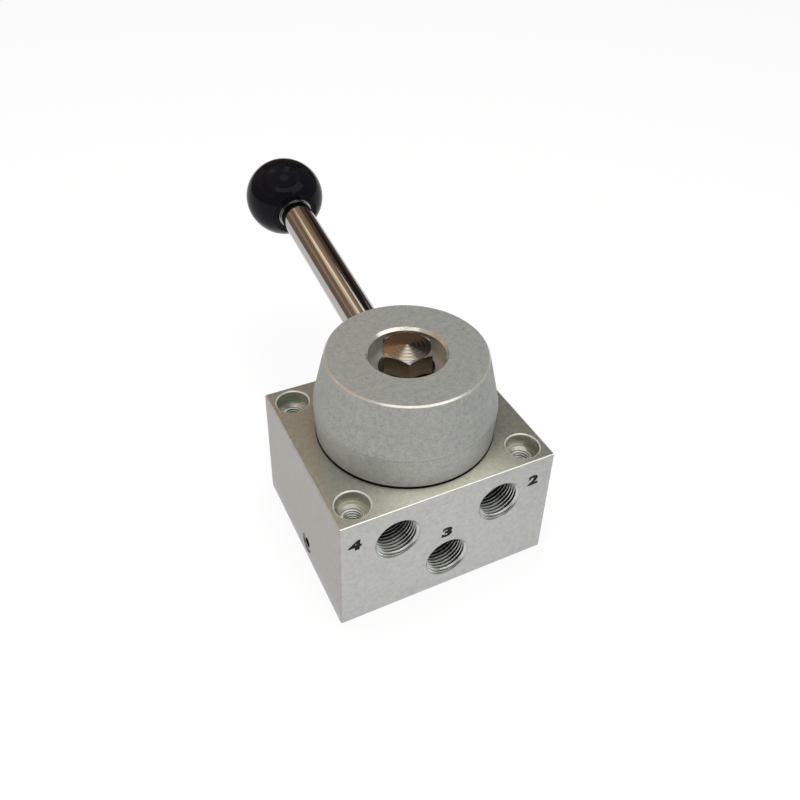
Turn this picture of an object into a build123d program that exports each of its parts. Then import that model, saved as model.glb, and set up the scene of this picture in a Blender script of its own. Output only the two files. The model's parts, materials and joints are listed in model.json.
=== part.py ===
from build123d import *
import os
from math import cos, degrees, radians, sin, tan

# Manual rotary air valve, four ports and three positions, G3/8 ports.
# Origin: centre of the block's bottom face, on the turning axis of the lever cap.
# +X runs along the face with ports 2, 3 and 4, +Y points to the rear, where the lever stands, +Z is up.
# Plain holes stand at the outer radius of the threads they carry.

# Block
block_width = 85.0
block_depth = 75.0
block_height = 50.0
block_chamfer = 0.5

# Four counterbored M8 mounting holes
mount_edge_distance = 8.5
mount_hole_radius = 4.0
mount_recess_radius = 6.2
mount_recess_depth = 4.9
mount_rim_chamfer = 0.4
mount_lead_chamfer = 0.9

# G3/8 ports: 4, 3 and 2 on the front face, 1 on the rear face
port_radius = 8.33
port_depth = 13.0
port_rim_chamfer = 0.5
port_tip_length = 2.0
port_pitch = 41.0
upper_port_height = 35.0
lower_port_height = 15.0

# Drilled air ways
service_way_radius = 3.5
supply_way_radius = 3.0
exhaust_way_radius = 4.5
exhaust_drilling_radius = 5.0
exhaust_sump_height = 5.0
exhaust_drilling_overrun_length = 1.0
service_bend_depth = 5.5
drain_radius = 2.0
drain_height = 7.5
drain_distance = 3.7
drain_plug_radius = 4.0
drain_plug_length = 6.0
drain_plug_inset_depth = 0.4
drain_plug_key_width = 4.0
drain_plug_key_depth = 3.0

# Chamber that holds the rotary disc, and the seat plate on its floor
chamber_radius = 20.0
chamber_depth = 7.0
seat_thickness = 3.0
seat_clearance = 0.05
seat_hole_radius = 3.25
seat_hole_circle_radius = 12.5
seat_notch_radius = 3.6
dowel_radius = 1.25
dowel_length = 6.0
dowel_inset_depth = 0.4
dowel_circle_radius = 16.5
dowel_angle = 30.0
seal_height = 1.2
seal_groove_width = 1.6
seal_land_width = 0.5

# Rotary disc
disc_radius = 17.5
disc_thickness = 5.0
disc_running_gap = 0.02
disc_exhaust_depth = 2.0
disc_pilot_depth = 1.5
disc_port_angle = 45.0
disc_spring_height = 1.2
disc_spring_thickness = 0.6
disc_spring_inner_radius = 5.3
disc_spring_outer_radius = 10.5
drive_pin_radius = 2.0
drive_pin_circle_radius = 13.5
drive_pin_depth = 2.5
drive_pin_clearance = 0.03

# Bonnet over the chamber
bonnet_radius = 29.0
bonnet_recess_depth = 1.0
bonnet_clearance = 0.05
bonnet_thickness = 11.0
bonnet_roof_thickness = 4.0
bonnet_cavity_inset = 0.6
bonnet_edge_chamfer = 0.8
bonnet_seal_mean_radius = 21.7
neck_radius = 12.5
neck_height = 1.8
neck_chamfer = 0.4
bonnet_screw_radius = 2.0
bonnet_screw_head_radius = 3.5
bonnet_screw_head_height = 4.0
bonnet_screw_recess_gap = 0.3
bonnet_screw_length = 13.0
bonnet_screw_circle_radius = 25.0
bonnet_screw_angle = 22.0
bonnet_screw_key_width = 3.0
bonnet_screw_key_depth = 2.0

# Spindle through the bonnet
spindle_radius = 8.0
spindle_running_gap = 0.03
spindle_flange_radius = 16.0
spindle_pilot_radius = 4.9
spindle_pilot_gap = 0.3
spindle_square_width = 12.0
spindle_square_gap = 0.05
thrust_washer_thickness = 1.0
thrust_washer_width = 6.0
bush_thickness = 2.0
bush_length = 3.3
spindle_seal_width = 1.5
spindle_shoulder_gap = 0.5

# Lever positions and the things that hold and limit them
lever_swing_angle = 45.0
detent_angle = -90.0
detent_ball_radius = 3.5
detent_pocket_gap = 0.05
detent_pocket_depth = 15.0
detent_circle_radius = 20.0
detent_travel_length = 0.9
detent_crest_gap = 0.03
detent_dimple_gap = 0.08
spring_wire_radius = 0.45
spring_coil_radius = 2.6
spring_pitch = 2.2
stop_pin_radius = 2.0
stop_pin_length = 11.0
stop_pin_circle_radius = 16.5
stop_pin_angle = 25.0
stop_groove_depth = 2.5
stop_side_gap = 0.12
stop_floor_gap = 0.3

# Die-cast cap
cap_gap = 0.8
cap_rim_radius = 33.4
cap_crease_radius = 34.1
cap_crease_height = 13.6
cap_crease_fillet = 10.0
cap_top_radius = 29.4
cap_height = 34.0
cap_edge_chamfer = 0.55
cap_skirt_inner_radius = 30.2
cap_skirt_taper_width = 0.6
cap_web_gap = 1.0
cap_neck_gap = 0.7
cap_recess_radius = 14.0
cap_recess_depth = 6.6
cap_recess_chamfer = 1.0
cap_well_radius = 10.3
cap_well_depth = 6.5

# Hexagon bolt that clamps the cap to the spindle
bolt_hex_width = 17.0
bolt_turn_angle = 8.0
bolt_corner_rise_height = 1.6
bolt_corner_angle = 30.0
bolt_cone_angle = 7.0
bolt_shank_radius = 4.0
bolt_shank_length = 12.0
bolt_hole_gap = 0.05
bolt_washer_radius = 9.4
bolt_washer_thickness = 1.5

# Lever rod and ball knob: distances along the lever from the cap's axis, and the rise above the block there
lever_angle = 9.0
lever_rise_height = 15.5
rod_radius = 7.0
rod_seat_gap = 0.03
rod_shoulder_distance = 29.0
rod_stud_radius = 6.0
rod_stud_distance = 14.5
rod_stud_gap = 0.05
rod_edge_chamfer = 0.6
knob_radius = 17.5
knob_centre_distance = 129.0
knob_flat_radius = 10.2
knob_groove_width = 0.5
knob_edge_fillet = 0.4
insert_flange_radius = 7.6
insert_flange_thickness = 1.6
insert_radius = 6.9
insert_length = 15.0
rod_knob_stud_length = 12.0

# Heights worked out from the sizes above
chamber_floor = block_height - chamber_depth
seat_face = chamber_floor + seat_thickness
disc_bottom = seat_face + disc_running_gap
disc_top = disc_bottom + disc_thickness
flange_bottom = disc_top + disc_spring_height
bonnet_bottom = block_height - bonnet_recess_depth
bonnet_top = bonnet_bottom + bonnet_thickness
roof_bottom = bonnet_top - bonnet_roof_thickness
flange_top = roof_bottom - thrust_washer_thickness
neck_top = bonnet_top + neck_height
shoulder_height = neck_top + spindle_shoulder_gap
web_bottom = bonnet_top + cap_web_gap
cap_bottom = block_height + cap_gap
cap_crease = block_height + cap_crease_height
cap_top = block_height + cap_height
lever_axis_height = block_height + lever_rise_height
recess_floor = cap_top - cap_recess_depth
well_floor = recess_floor - cap_well_depth
bolt_head_bottom = well_floor + bolt_washer_thickness
bolt_corner_height = cap_top + bolt_corner_rise_height
spring_top = web_bottom + detent_pocket_depth
detent_ball_height = bonnet_top + detent_ball_radius + detent_crest_gap
knob_flat = knob_centre_distance - (knob_radius**2 - knob_flat_radius**2) ** 0.5

lever_frame = Plane(
    origin=(0, 0, lever_axis_height),
    x_dir=(1, 0, 0),
    z_dir=(0, cos(radians(lever_angle)), sin(radians(lever_angle))),
)
standing = (Align.CENTER, Align.CENTER, Align.MIN)


def disc_between(radius, low, high, x=0.0, y=0.0):
    """Upright cylinder from one height to another."""
    return Pos(x, y, low) * Cylinder(radius, high - low, align=standing)


def ring_between(outer, inner, low, high, x=0.0, y=0.0):
    return disc_between(outer, low, high, x, y) - disc_between(inner, low, high, x, y)


def turned(*points):
    """Solid of revolution about Z from (radius, height) points."""
    return revolve(make_face(Plane.XZ * Polyline(*points, close=True)), Axis.Z)


def polar(radius, angle):
    return radius * cos(radians(angle)), radius * sin(radians(angle))


def rod_between(start, end, radius):
    """Cylinder with flat ends from one point to another."""
    axis = Vector(*end) - Vector(*start)
    return Plane(origin=start, z_dir=axis) * Cylinder(radius, axis.length, align=standing)


def hexagon_key(across_flats, low, high, x=0.0, y=0.0):
    corner = across_flats / 2 / cos(radians(30))
    return Pos(x, y, low) * extrude(RegularPolygon(corner, 6), high - low)


def mount_places():
    x = block_width / 2 - mount_edge_distance
    y = block_depth / 2 - mount_edge_distance
    return [(side_x * x, side_y * y) for side_x in (-1, 1) for side_y in (-1, 1)]


def bonnet_screw_places():
    angles = [base + side * bonnet_screw_angle for base in (0, 180) for side in (-1, 1)]
    return [polar(bonnet_screw_circle_radius, angle) for angle in angles]


def dowel_places():
    return [polar(dowel_circle_radius, detent_angle + side * dowel_angle / 2) for side in (-1, 1)]


def seat_hole_places():
    return [(-seat_hole_circle_radius, 0.0), (seat_hole_circle_radius, 0.0)]


def seat_seals():
    """Mean radius and place of each small seal under the seat plate."""
    exhaust_mean = exhaust_way_radius + seal_land_width + seal_groove_width / 2
    service_mean = seat_hole_radius + seal_land_width + seal_groove_width / 2
    return [(exhaust_mean, 0.0, 0.0)] + [(service_mean, x, y) for x, y in seat_hole_places()]


def seal_groove(mean_radius, top, x=0.0, y=0.0):
    half = seal_groove_width / 2
    return ring_between(mean_radius + half, mean_radius - half, top - seal_height, top, x, y)


def seal_ring(mean_radius, top, x=0.0, y=0.0):
    return Pos(x, y, top - seal_height / 2) * Torus(mean_radius, seal_height / 2)


def port_bore(x, height, side):
    """Threaded port with its rim chamfer and drill tip. side is -1 at the front and 1 at the rear."""
    mouth = Plane(origin=(x, side * block_depth / 2, height), z_dir=(0, -side, 0))
    rim = Cone(port_radius + port_rim_chamfer, port_radius, port_rim_chamfer, align=standing)
    bore = Cylinder(port_radius, port_depth, align=standing)
    tip = Pos(0, 0, port_depth) * Cone(port_radius, service_way_radius, port_tip_length, align=standing)
    return mouth * (rim + bore + tip)


def air_ways():
    """Drillings that join the ports to the seat."""
    port_end = block_depth / 2 - port_depth - port_tip_length
    bend = chamber_floor - service_bend_depth
    ways = []
    tip_middle = port_end + port_tip_length / 2
    for side in (-1, 1):
        start = (side * port_pitch / 2, -tip_middle, upper_port_height)
        ways.append(rod_between(start, (side * seat_hole_circle_radius, 0, bend), service_way_radius))
        ways.append(disc_between(seat_hole_radius, bend, chamber_floor, side * seat_hole_circle_radius, 0))
    ways.append(disc_between(exhaust_way_radius, exhaust_sump_height, chamber_floor))
    exhaust_start = (0, -tip_middle, lower_port_height)
    exhaust_end = (0, exhaust_drilling_overrun_length, lower_port_height)
    ways.append(rod_between(exhaust_start, exhaust_end, exhaust_drilling_radius))
    supply_start = (0, tip_middle + supply_way_radius, lower_port_height)
    supply_end = (0, chamber_radius - supply_way_radius / 2, seat_face)
    ways.append(rod_between(supply_start, supply_end, supply_way_radius))
    return ways


def drain_bore():
    """Tapped hole for the drain plug, and the drilling from it into the exhaust sump."""
    wall = -block_width / 2
    seat = wall + drain_plug_inset_depth + drain_plug_length
    mouth, shoulder, end = [(x, -drain_distance, drain_height) for x in (wall, seat, -drain_radius)]
    return rod_between(mouth, shoulder, drain_plug_radius) + rod_between(shoulder, end, drain_radius)


def valve_body():
    block = Pos(0, 0, block_height / 2) * Box(block_width, block_depth, block_height)
    block = chamfer(block.edges(), block_chamfer)
    for x, y in mount_places():
        block -= disc_between(mount_hole_radius, 0, block_height, x, y)
        recess = disc_between(mount_recess_radius, block_height - mount_recess_depth, block_height, x, y)
        rim = Pos(x, y, block_height - mount_rim_chamfer) * Cone(
            mount_recess_radius, mount_recess_radius + mount_rim_chamfer, mount_rim_chamfer, align=standing
        )
        lead = Pos(x, y, block_height - mount_recess_depth - mount_lead_chamfer) * Cone(
            mount_hole_radius, mount_hole_radius + mount_lead_chamfer, mount_lead_chamfer, align=standing
        )
        block -= recess + rim + lead
    block -= disc_between(chamber_radius, chamber_floor, block_height)
    block -= disc_between(bonnet_radius + bonnet_clearance, bonnet_bottom, block_height)
    block -= seal_groove(bonnet_seal_mean_radius, bonnet_bottom)
    for mean_radius, x, y in seat_seals():
        block -= seal_groove(mean_radius, chamber_floor, x, y)
    dowel_bottom = chamber_floor - dowel_length + seat_thickness
    for x, y in dowel_places():
        block -= disc_between(dowel_radius, dowel_bottom, chamber_floor, x, y)
    screw_bottom = bonnet_top - bonnet_screw_head_height - bonnet_screw_recess_gap - bonnet_screw_length
    for x, y in bonnet_screw_places():
        block -= disc_between(bonnet_screw_radius, screw_bottom, bonnet_bottom, x, y)
    block -= port_bore(-port_pitch / 2, upper_port_height, -1)
    block -= port_bore(port_pitch / 2, upper_port_height, -1)
    block -= port_bore(0, lower_port_height, -1)
    block -= port_bore(0, lower_port_height, 1)
    for way in air_ways():
        block -= way
    return block - drain_bore()


def drain_plug():
    wall = -block_width / 2 + drain_plug_inset_depth
    start = (wall, -drain_distance, drain_height)
    plug = rod_between(start, (wall + drain_plug_length, -drain_distance, drain_height), drain_plug_radius)
    key = Plane(origin=start, z_dir=(1, 0, 0)) * hexagon_key(drain_plug_key_width, 0, drain_plug_key_depth)
    return plug - key


def seat_plate():
    plate = disc_between(chamber_radius - seat_clearance, chamber_floor, seat_face)
    plate -= disc_between(exhaust_way_radius, chamber_floor, seat_face)
    for x, y in seat_hole_places():
        plate -= disc_between(seat_hole_radius, chamber_floor, seat_face, x, y)
    for x, y in dowel_places():
        plate -= disc_between(dowel_radius, chamber_floor, seat_face, x, y)
    plate -= disc_between(seat_notch_radius, chamber_floor, seat_face, 0, chamber_radius)
    return plate


def seat_dowels():
    top = seat_face - dowel_inset_depth
    bottom = chamber_floor - dowel_length + seat_thickness
    return [disc_between(dowel_radius, bottom, top, x, y) for x, y in dowel_places()]


def bonnet():
    bore = spindle_radius + spindle_running_gap
    bush_top = roof_bottom + bush_length
    gland_radius = spindle_radius + spindle_seal_width
    gland_top = bush_top + spindle_seal_width
    cavity = chamber_radius - bonnet_cavity_inset
    body = turned(
        (cavity, bonnet_bottom),
        (bonnet_radius, bonnet_bottom),
        (bonnet_radius, bonnet_top - bonnet_edge_chamfer),
        (bonnet_radius - bonnet_edge_chamfer, bonnet_top),
        (neck_radius, bonnet_top),
        (neck_radius, neck_top - neck_chamfer),
        (neck_radius - neck_chamfer, neck_top),
        (bore, neck_top),
        (bore, gland_top),
        (gland_radius, gland_top),
        (gland_radius, bush_top),
        (spindle_radius + bush_thickness, bush_top),
        (spindle_radius + bush_thickness, roof_bottom),
        (cavity, roof_bottom),
    )
    head_bottom = bonnet_top - bonnet_screw_head_height - bonnet_screw_recess_gap
    recess_radius = bonnet_screw_head_radius + bonnet_screw_recess_gap
    for x, y in bonnet_screw_places():
        body -= disc_between(bonnet_screw_radius, bonnet_bottom, bonnet_top, x, y)
        body -= disc_between(recess_radius, head_bottom, bonnet_top, x, y)
    for turn in (-lever_swing_angle, 0, lever_swing_angle):
        x, y = polar(detent_circle_radius, detent_angle + turn)
        pressed_height = detent_ball_height - detent_travel_length
        body -= Pos(x, y, pressed_height) * Sphere(detent_ball_radius + detent_dimple_gap)
    return body - Pos(0, 0, bonnet_top - stop_groove_depth) * stop_groove()


def stop_groove():
    """Bent slot whose ends stop the pin just past the lever's outer positions."""
    half_angle = lever_swing_angle + degrees(stop_side_gap / stop_pin_circle_radius)
    arc = CenterArc((0, 0), stop_pin_circle_radius, stop_pin_angle - half_angle, 2 * half_angle)
    return extrude(SlotArc(arc, 2 * (stop_pin_radius + stop_side_gap)), stop_groove_depth)


def bonnet_screws():
    head_bottom = bonnet_top - bonnet_screw_head_height - bonnet_screw_recess_gap
    head_top = head_bottom + bonnet_screw_head_height
    screws = []
    for x, y in bonnet_screw_places():
        screw = disc_between(bonnet_screw_radius, head_bottom - bonnet_screw_length, head_bottom, x, y)
        screw += disc_between(bonnet_screw_head_radius, head_bottom, head_top, x, y)
        key_bottom = head_top - bonnet_screw_key_depth
        screws.append(screw - hexagon_key(bonnet_screw_key_width, key_bottom, head_top, x, y))
    return screws


def spindle_bush():
    outer = spindle_radius + bush_thickness
    return ring_between(outer, spindle_radius + spindle_running_gap, roof_bottom, roof_bottom + bush_length)


def spindle_seal():
    """Seal ring squeezed between the gland and the spindle."""
    middle = roof_bottom + bush_length + spindle_seal_width / 2
    section = (spindle_seal_width - spindle_running_gap) / 2
    return Pos(0, 0, middle) * Torus(spindle_radius + spindle_running_gap + section, section)


def thrust_washer():
    inner = spindle_radius + spindle_running_gap
    return ring_between(inner + thrust_washer_width, inner, flange_top + disc_running_gap, roof_bottom)


def drive_pin_places():
    return [(-drive_pin_circle_radius, 0.0), (drive_pin_circle_radius, 0.0)]


def valve_disc():
    """Disc with a bent exhaust pocket underneath and two supply holes opposite it."""
    disc = disc_between(disc_radius, disc_bottom, disc_top)
    pocket_top = disc_bottom + disc_exhaust_depth
    kidney_arc = CenterArc((0, 0), seat_hole_circle_radius, 90 - disc_port_angle, 2 * disc_port_angle)
    kidney = extrude(SlotArc(kidney_arc, 2 * seat_hole_radius), disc_exhaust_depth)
    disc -= Pos(0, 0, disc_bottom) * kidney
    disc -= disc_between(exhaust_way_radius, disc_bottom, pocket_top)
    neck_width = 2 * exhaust_way_radius
    neck_align = (Align.CENTER, Align.MIN, Align.MIN)
    neck = Box(neck_width, seat_hole_circle_radius, disc_exhaust_depth, align=neck_align)
    disc -= Pos(0, 0, disc_bottom) * neck
    for turn in (-disc_port_angle, disc_port_angle):
        x, y = polar(seat_hole_circle_radius, -90 + turn)
        disc -= disc_between(seat_hole_radius, disc_bottom, disc_top, x, y)
    disc -= disc_between(spindle_pilot_radius + drive_pin_clearance, disc_top - disc_pilot_depth, disc_top)
    pin_hole_radius = drive_pin_radius + drive_pin_clearance
    for x, y in drive_pin_places():
        disc -= disc_between(pin_hole_radius, disc_top - drive_pin_depth, disc_top, x, y)
    return disc


def disc_spring():
    """Conical spring washer between the disc and the spindle flange."""
    return turned(
        (disc_spring_inner_radius, flange_bottom - disc_spring_thickness),
        (disc_spring_outer_radius, disc_top),
        (disc_spring_outer_radius, disc_top + disc_spring_thickness),
        (disc_spring_inner_radius, flange_bottom),
    )


def drive_pins():
    bottom = disc_top - drive_pin_depth + drive_pin_clearance
    return [disc_between(drive_pin_radius, bottom, flange_top, x, y) for x, y in drive_pin_places()]


def spindle():
    """Flanged spindle with a square end that turns the cap, tapped for the centre bolt."""
    square_top = well_floor - spindle_square_gap
    shaft = disc_between(spindle_pilot_radius, disc_top - disc_pilot_depth + spindle_pilot_gap, flange_bottom)
    shaft += disc_between(spindle_flange_radius, flange_bottom, flange_top)
    shaft += disc_between(spindle_radius, flange_top, shoulder_height)
    square = Pos(0, 0, shoulder_height) * Box(
        spindle_square_width, spindle_square_width, square_top - shoulder_height, align=standing
    )
    shaft += square & disc_between(spindle_radius, shoulder_height, square_top)
    bolt_end = bolt_head_bottom - bolt_shank_length
    shaft -= disc_between(bolt_shank_radius, bolt_end, square_top)
    for x, y in drive_pin_places():
        shaft -= disc_between(drive_pin_radius, flange_bottom, flange_top, x, y)
    return shaft


def lever_piece(shape):
    """Places a shape drawn along +Z on the lever's own line."""
    return lever_frame * shape


def cap():
    """Die-cast cap: conical above its crease, hollow below the web, with a stepped recess in its top."""
    body = turned(
        (0, web_bottom),
        (cap_skirt_inner_radius - cap_skirt_taper_width, web_bottom),
        (cap_skirt_inner_radius, cap_bottom),
        (cap_rim_radius, cap_bottom),
        (cap_crease_radius, cap_crease),
        (cap_top_radius + cap_edge_chamfer / 2, cap_top - cap_edge_chamfer),
        (cap_top_radius - cap_edge_chamfer / 2, cap_top),
        (0, cap_top),
    )
    rings = body.edges().filter_by(GeomType.CIRCLE)
    crease = rings.sort_by_distance((cap_crease_radius, 0, cap_crease))[0]
    body = fillet(crease, cap_crease_fillet)
    body -= disc_between(neck_radius + cap_neck_gap, web_bottom, shoulder_height)
    side = spindle_square_width + 2 * spindle_square_gap
    square = Pos(0, 0, shoulder_height) * Box(side, side, well_floor - shoulder_height, align=standing)
    body -= square & disc_between(spindle_radius + spindle_square_gap, shoulder_height, well_floor)
    body -= disc_between(cap_well_radius, well_floor, recess_floor)
    body -= disc_between(cap_recess_radius, recess_floor, cap_top)
    body -= Pos(0, 0, cap_top - cap_recess_chamfer) * Cone(
        cap_recess_radius, cap_recess_radius + cap_recess_chamfer, cap_recess_chamfer, align=standing
    )
    x, y = polar(detent_circle_radius, detent_angle)
    body -= disc_between(detent_ball_radius + detent_pocket_gap, web_bottom, spring_top, x, y)
    x, y = polar(stop_pin_circle_radius, stop_pin_angle)
    body -= disc_between(stop_pin_radius, web_bottom, stop_pin_bottom() + stop_pin_length, x, y)
    socket = Cylinder(rod_radius + rod_seat_gap, cap_crease_radius, align=standing)
    stud_hole = Cylinder(rod_stud_radius + rod_stud_gap, cap_crease_radius, align=standing)
    stud_end = rod_stud_distance - rod_stud_gap
    return body - lever_piece(Pos(0, 0, rod_shoulder_distance) * socket + Pos(0, 0, stud_end) * stud_hole)


def stop_pin_bottom():
    return bonnet_top - stop_groove_depth + stop_floor_gap


def stop_pin():
    x, y = polar(stop_pin_circle_radius, stop_pin_angle)
    return disc_between(stop_pin_radius, stop_pin_bottom(), stop_pin_bottom() + stop_pin_length, x, y)


def detent_ball():
    x, y = polar(detent_circle_radius, detent_angle)
    return Pos(x, y, detent_ball_height) * Sphere(detent_ball_radius)


def detent_spring():
    """Coil spring between the pocket's end and the detent ball."""
    x, y = polar(detent_circle_radius, detent_angle)
    ball_seat = (detent_ball_radius**2 - spring_coil_radius**2) ** 0.5
    bottom = detent_ball_height + ball_seat + 2 * spring_wire_radius
    height = spring_top - spring_wire_radius - bottom
    path = Pos(x, y, bottom) * Helix(spring_pitch, height, spring_coil_radius)
    start = path @ 0
    profile = Plane(origin=start, z_dir=path % 0) * Circle(spring_wire_radius)
    return sweep(profile, path, is_frenet=True)


def centre_bolt():
    """Bolt turned from hexagon bar, with chamfered corners and a shallow conical top."""
    flat = bolt_hex_width / 2
    corner = flat / cos(radians(30))
    slope = tan(radians(bolt_corner_angle))
    shoulder = bolt_corner_height + (corner - flat) * slope
    apex = shoulder + flat * tan(radians(bolt_cone_angle))
    rim = bolt_hex_width
    head = Rot(0, 0, bolt_turn_angle) * hexagon_key(bolt_hex_width, bolt_head_bottom, apex)
    head &= turned(
        (0, bolt_head_bottom),
        (rim, bolt_head_bottom),
        (rim, shoulder - (rim - flat) * slope),
        (flat, shoulder),
        (0, apex),
    )
    return head + disc_between(bolt_shank_radius, bolt_head_bottom - bolt_shank_length, bolt_head_bottom)


def bolt_washer():
    return ring_between(bolt_washer_radius, bolt_shank_radius + bolt_hole_gap, well_floor, bolt_head_bottom)


def lever_rod():
    """Plated rod with a threaded stud at each end."""
    end = knob_flat + insert_flange_thickness
    rod = turned(
        (0, rod_stud_distance),
        (rod_stud_radius, rod_stud_distance),
        (rod_stud_radius, rod_shoulder_distance),
        (rod_radius, rod_shoulder_distance),
        (rod_radius, knob_flat - rod_edge_chamfer),
        (rod_radius - rod_edge_chamfer, knob_flat),
        (rod_stud_radius, knob_flat),
        (rod_stud_radius, end + rod_knob_stud_length),
        (0, end + rod_knob_stud_length),
    )
    return lever_piece(rod)


def insert_profile(clearance):
    """Outline of the flanged insert along the lever, from the knob's flat inwards."""
    flange = Cylinder(insert_flange_radius + clearance, insert_flange_thickness, align=standing)
    sleeve = Cylinder(insert_radius + clearance, insert_length, align=standing)
    return Pos(0, 0, knob_flat) * (flange + sleeve)


def knob_insert():
    bore = Pos(0, 0, knob_flat) * Cylinder(rod_stud_radius + rod_stud_gap, insert_length, align=standing)
    return lever_piece(insert_profile(0) - bore)


def ball_knob():
    """Moulded ball with a flat where the rod enters and a shallow groove round the insert."""
    ball = Pos(0, 0, knob_centre_distance) * Sphere(knob_radius)
    hanging = (Align.CENTER, Align.CENTER, Align.MAX)
    ball -= Pos(0, 0, knob_flat) * Cylinder(knob_radius, knob_radius, align=hanging)
    ball = fillet(ball.edges().filter_by(GeomType.CIRCLE), knob_edge_fillet)
    ball -= insert_profile(0)
    groove_outer = insert_flange_radius + knob_groove_width
    groove = ring_between(groove_outer, insert_flange_radius, knob_flat, knob_flat + knob_groove_width / 2)
    return lever_piece(ball - groove)


def write(name, *solids):
    shape = solids[0] if len(solids) == 1 else Compound(children=list(solids))
    shape.label = name
    export_step(shape, f"parts/{name}.step")


os.makedirs("parts", exist_ok=True)

write("valve_body", valve_body())
write("drain_plug", drain_plug())
write("seat_plate", seat_plate())
write("seat_dowels", *seat_dowels())
write("seat_seals", *[seal_ring(mean_radius, chamber_floor, x, y) for mean_radius, x, y in seat_seals()])
write("bonnet", bonnet())
write("bonnet_seal", seal_ring(bonnet_seal_mean_radius, bonnet_bottom))
write("bonnet_screws", *bonnet_screws())
write("spindle_bush", spindle_bush())
write("spindle_seal", spindle_seal())
write("thrust_washer", thrust_washer())
write("valve_disc", valve_disc())
write("disc_spring", disc_spring())
write("drive_pins", *drive_pins())
write("spindle", spindle())
write("cap", cap())
write("stop_pin", stop_pin())
write("detent_ball", detent_ball())
write("detent_spring", detent_spring())
write("bolt_washer", bolt_washer())
write("centre_bolt", centre_bolt())
write("lever_rod", lever_rod())
write("knob_insert", knob_insert())
write("ball_knob", ball_knob())
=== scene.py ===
import json
from math import cos, hypot, pi, radians, sin

import bpy
from mathutils import Matrix, Vector


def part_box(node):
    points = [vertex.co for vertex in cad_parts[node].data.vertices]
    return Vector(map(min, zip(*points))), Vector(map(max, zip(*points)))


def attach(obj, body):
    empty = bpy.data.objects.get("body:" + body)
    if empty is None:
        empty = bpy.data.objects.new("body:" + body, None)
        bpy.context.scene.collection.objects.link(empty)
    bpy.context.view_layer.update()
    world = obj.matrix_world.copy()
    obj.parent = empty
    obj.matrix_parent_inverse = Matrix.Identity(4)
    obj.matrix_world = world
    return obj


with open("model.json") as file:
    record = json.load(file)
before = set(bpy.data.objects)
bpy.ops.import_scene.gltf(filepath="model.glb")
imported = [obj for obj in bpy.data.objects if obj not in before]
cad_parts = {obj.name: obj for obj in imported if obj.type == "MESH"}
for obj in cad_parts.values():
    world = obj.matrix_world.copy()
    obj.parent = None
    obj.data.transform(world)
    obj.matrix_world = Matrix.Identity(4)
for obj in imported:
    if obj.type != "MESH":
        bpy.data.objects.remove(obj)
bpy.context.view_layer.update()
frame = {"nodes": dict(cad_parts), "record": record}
nodes = frame["nodes"]
mounts = {mount["name"]: mount for mount in frame["record"]["mounts"]}
mm = 0.001
perMetre = 1000.0  # mm
bpy.ops.object.select_all(action='DESELECT')
print("frame loaded, nodes:", len(nodes))

# Helpers for places and shader trees


def place(point):
    return Vector(point) * mm


def addNode(tree, kind, settings=None, values=None, links=None):
    node = tree.nodes.new(kind)
    for name, value in (settings or {}).items():
        setattr(node, name, value)
    for name, value in (values or {}).items():
        node.inputs[name].default_value = value
    for name, source in (links or {}).items():
        tree.links.new(source, node.inputs[name])
    return node


def feed(tree, node, index, source):
    if hasattr(source, "node"):
        tree.links.new(source, node.inputs[index])
    else:
        node.inputs[index].default_value = source


# One step of arithmetic; each term is a number or an output
def calc(tree, operation, *terms):
    node = addNode(tree, "ShaderNodeMath", {"operation": operation})
    for index, term in enumerate(terms):
        feed(tree, node, index, term)
    return node.outputs[0]


def vectorCalc(tree, operation, *terms):
    node = addNode(tree, "ShaderNodeVectorMath", {"operation": operation})
    for index, term in enumerate(terms):
        feed(tree, node, index, term)
    return node.outputs["Value" if operation in ('DOT_PRODUCT', 'LENGTH') else "Vector"]


def scaleBy(tree, vector, amount):
    node = addNode(
        tree, "ShaderNodeVectorMath", {"operation": 'SCALE'}, links={0: vector, "Scale": amount}
    )
    return node.outputs[0]


def objectPlace(tree):
    return addNode(tree, "ShaderNodeTexCoord").outputs["Object"]


def split(tree, vector):
    return addNode(tree, "ShaderNodeSeparateXYZ", links={0: vector}).outputs


def valueMix(tree, amount, first, second):
    node = addNode(tree, "ShaderNodeMix", {"data_type": 'FLOAT'})
    for index, source in ((0, amount), (2, first), (3, second)):
        feed(tree, node, index, source)
    return node.outputs[0]


def colorMix(tree, amount, first, second, blend='MIX'):
    node = addNode(tree, "ShaderNodeMix", {"data_type": 'RGBA', "blend_type": blend})
    for index, source in ((0, amount), (6, first), (7, second)):
        feed(tree, node, index, source)
    return node.outputs[2]


def shaderMix(tree, amount, first, second):
    return addNode(tree, "ShaderNodeMixShader", links={0: amount, 1: first, 2: second}).outputs[0]


# Smooth change from low at the first value to high at the second
def ramp(tree, value, start, end, low=0.0, high=1.0):
    node = addNode(
        tree, "ShaderNodeMapRange", {"interpolation_type": 'SMOOTHSTEP'},
        {"From Min": start, "From Max": end, "To Min": low, "To Max": high}, {"Value": value},
    )
    return node.outputs[0]


bandCore = 0.7  # share of a band's width that is fully on


# 1 where the value lies within the width of the centre
def band(tree, value, centre, width):
    off = calc(tree, 'ABSOLUTE', calc(tree, 'SUBTRACT', value, centre))
    return calc(tree, 'SUBTRACT', 1.0, ramp(tree, off, width * bandCore, width))


# Adds to a value where each mask is on
def raised(tree, value, *changes):
    for mask, step in changes:
        value = calc(tree, 'MULTIPLY_ADD', mask, step, value)
    return value


# The studio: camera, floor, background, lamps, and cards that only show in reflections

cameraSetup = {
    "place": (-109.8, -207.7, 263.8),  # mm
    "heading": -26.99,                 # degrees about the vertical, 0 looks along +Y
    "tilt": -34.82,                    # degrees above level
    "roll": 1.63,
    "lens": 37.56,
    "shiftX": 0.0023,
    "shiftY": -0.1086,
}

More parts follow.
